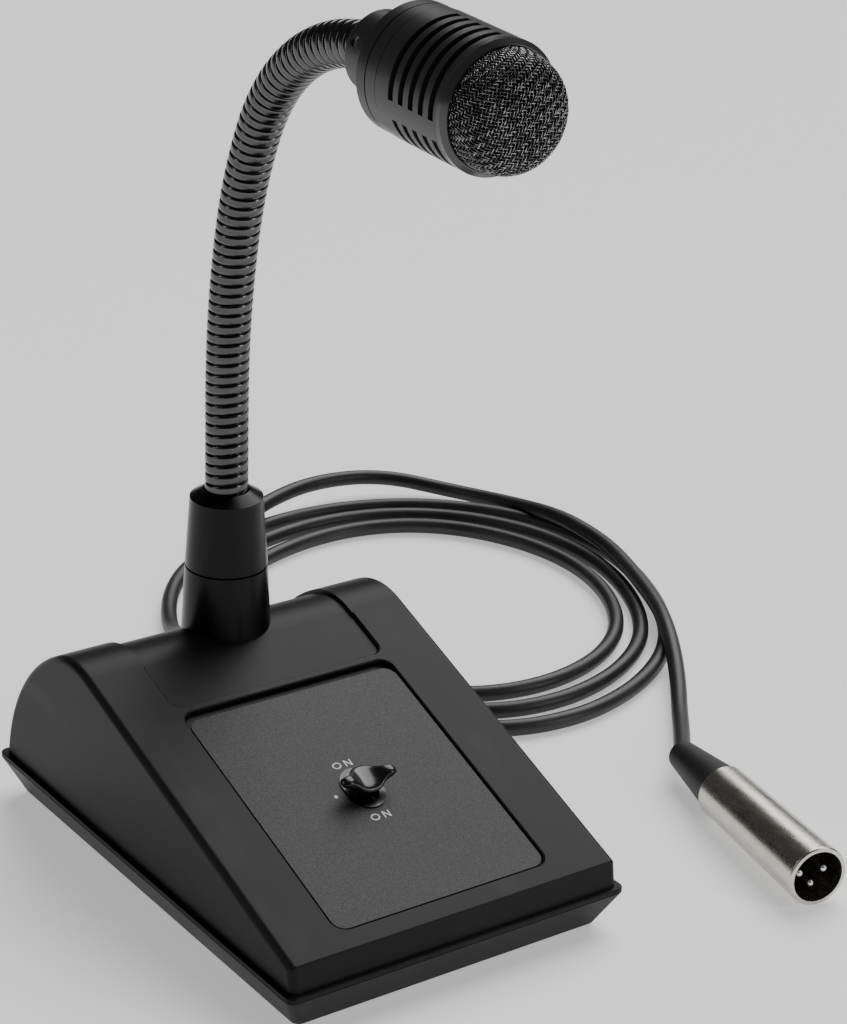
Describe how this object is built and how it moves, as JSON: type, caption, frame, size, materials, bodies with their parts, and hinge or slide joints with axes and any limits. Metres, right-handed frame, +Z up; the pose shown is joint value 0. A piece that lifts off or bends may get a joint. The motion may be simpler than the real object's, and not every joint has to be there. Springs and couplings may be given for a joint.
{
  "type": "gooseneck paging microphone",
  "caption": "Desk microphone on a weighted wedge base with a flexible gooseneck, slotted head with wire grille, rocking talk switch and a coiled lead with a 3-pin plug.",
  "frame": {"origin": "on the table under the middle of the base, on the face of the rubber pad", "axes": "+Z up, +Y to the rear of the base, +X to the right of the person who speaks into it"},
  "size_m": [0.2755, 0.3417, 0.2708],
  "materials": {
    "housing": "fine matt",
    "tray": "matt",
    "rubber": "matt",
    "zinc_steel": "plated",
    "ballast_steel": "rolled",
    "plate_coat": "textured powder coat",
    "gloss_black": "gloss",
    "insulator": "satin",
    "brass": "turned",
    "board": "solder mask",
    "cord": "satin jacket",
    "nickel": "fine satin nickel",
    "head_coat": "satin black coat",
    "gauze": "black woven wire",
    "foam": "open foam",
    "copper": "enamelled wire",
    "film": "clear film",
    "neck_black": "gloss black plated"
  },
  "bodies": {
    "base": {"upper_housing": "housing", "bottom_tray": "tray", "rubber_pad": "rubber", "tray_screws": "zinc_steel", "ballast_plate": "ballast_steel", "ballast_screws": "zinc_steel", "control_plate": "plate_coat", "switch_bezel": "gloss_black", "switch_frame": "zinc_steel", "lever_pin": "zinc_steel", "switch_contact_block": "insulator", "switch_terminals": "brass", "switch_screws": "zinc_steel", "terminal_board": "board", "board_standoffs": "brass", "pedestal_lower": "housing", "pedestal_upper": "housing", "neck_stud": "brass", "neck_washer": "zinc_steel", "neck_nut": "zinc_steel", "gland_sleeve": "rubber", "cord_clamp": "insulator", "inner_lead": "cord", "cord_coil": "cord", "cord_lead": "cord", "cord_tail": "cord", "plug_shell": "nickel", "plug_insert": "insulator", "plug_pins": "nickel", "plug_screw": "nickel", "plug_chuck": "insulator", "plug_boot": "rubber", "gooseneck_01": "neck_black"},
    "neck_01": {"gooseneck_02": "neck_black"},
    "neck_02": {"gooseneck_03": "neck_black"},
    "neck_03": {"gooseneck_04": "neck_black"},
    "neck_04": {"gooseneck_05": "neck_black"},
    "neck_05": {"gooseneck_06": "neck_black"},
    "neck_06": {"gooseneck_07": "neck_black"},
    "neck_07": {"gooseneck_08": "neck_black"},
    "neck_08": {"gooseneck_09": "neck_black"},
    "neck_09": {"gooseneck_10": "neck_black"},
    "neck_10": {"gooseneck_11": "neck_black"},
    "head": {"head_collar": "head_coat", "grub_screw": "zinc_steel", "head_back_cap": "head_coat", "head_sleeve": "head_coat", "slot_gauze": "gauze", "front_ring": "head_coat", "grille_dome": "gauze", "foam_liner": "foam", "capsule_housing": "zinc_steel", "capsule_magnet": "ballast_steel", "capsule_pole": "zinc_steel", "voice_coil": "copper", "capsule_diaphragm": "film", "capsule_cover": "zinc_steel", "capsule_mount": "rubber", "gooseneck_12": "neck_black"},
    "lever": {"switch_lever": "gloss_black"}
  },
  "joints": [
    {"name": "neck_sway", "type": "hinge", "parent": "base", "child": "neck_01", "pos_m": [0, 0.0433, 0.1154], "axis": [0, -1, 0], "range_deg": [-11, 11]},
    {"name": "neck_pitch_2", "type": "hinge", "parent": "neck_01", "child": "neck_02", "pos_m": [0, 0.04307, 0.1434], "axis": [1, 0, 0], "range_deg": [-5.53, 2.4]},
    {"name": "neck_sway_2", "type": "hinge", "parent": "neck_02", "child": "neck_03", "pos_m": [0, 0.0421, 0.15736], "axis": [0, -0.9953, -0.0964], "range_deg": [-11.01, 11.01]},
    {"name": "neck_pitch_3", "type": "hinge", "parent": "neck_03", "child": "neck_04", "pos_m": [0, 0.04037, 0.17125], "axis": [1, 0, 0], "range_deg": [-6.33, 2.75]},
    {"name": "neck_sway_3", "type": "hinge", "parent": "neck_04", "child": "neck_05", "pos_m": [0, 0.0379, 0.18503], "axis": [0, -0.9791, -0.2036], "range_deg": [-11.01, 11.01]},
    {"name": "neck_pitch_4", "type": "hinge", "parent": "neck_05", "child": "neck_06", "pos_m": [0, 0.03411, 0.19954], "axis": [1, 0, 0], "range_deg": [-9.99, 4.34]},
    {"name": "neck_pitch_5", "type": "hinge", "parent": "neck_06", "child": "neck_07", "pos_m": [0, 0.02668, 0.21809], "axis": [1, 0, 0], "range_deg": [-11.76, 5.1]},
    {"name": "neck_pitch", "type": "hinge", "parent": "neck_07", "child": "neck_08", "pos_m": [0, 0.0173, 0.23221], "axis": [1, 0, 0], "range_deg": [-15.34, 6.66]},
    {"name": "neck_pitch_6", "type": "hinge", "parent": "neck_08", "child": "neck_09", "pos_m": [0, 0.00453, 0.24334], "axis": [1, 0, 0], "range_deg": [-14.67, 6.37]},
    {"name": "neck_pitch_7", "type": "hinge", "parent": "neck_09", "child": "neck_10", "pos_m": [0, -0.00932, 0.25022], "axis": [1, 0, 0], "range_deg": [-14.21, 6.17]},
    {"name": "neck_pitch_8", "type": "hinge", "parent": "neck_10", "child": "head", "pos_m": [0, -0.02492, 0.2536], "axis": [1, 0, 0], "range_deg": [-14.61, 6.34]},
    {"name": "switch_rock", "type": "hinge", "parent": "base", "child": "lever", "pos_m": [0, -0.0293, 0.02934], "axis": [1, 0, 0], "range_deg": [-12, 12], "stiffness_Nm_per_rad": 0.03}
  ],
  "couplings": [
    {"joint": "neck_pitch_2", "follows": "neck_pitch_4", "ratio": 0.553},
    {"joint": "neck_sway_2", "follows": "neck_sway", "ratio": 1},
    {"joint": "neck_pitch_3", "follows": "neck_pitch_4", "ratio": 0.634},
    {"joint": "neck_sway_3", "follows": "neck_sway", "ratio": 1},
    {"joint": "neck_pitch_5", "follows": "neck_pitch", "ratio": 0.766},
    {"joint": "neck_pitch_6", "follows": "neck_pitch", "ratio": 0.956},
    {"joint": "neck_pitch_7", "follows": "neck_pitch", "ratio": 0.926},
    {"joint": "neck_pitch_8", "follows": "neck_pitch", "ratio": 0.952}
  ]
}
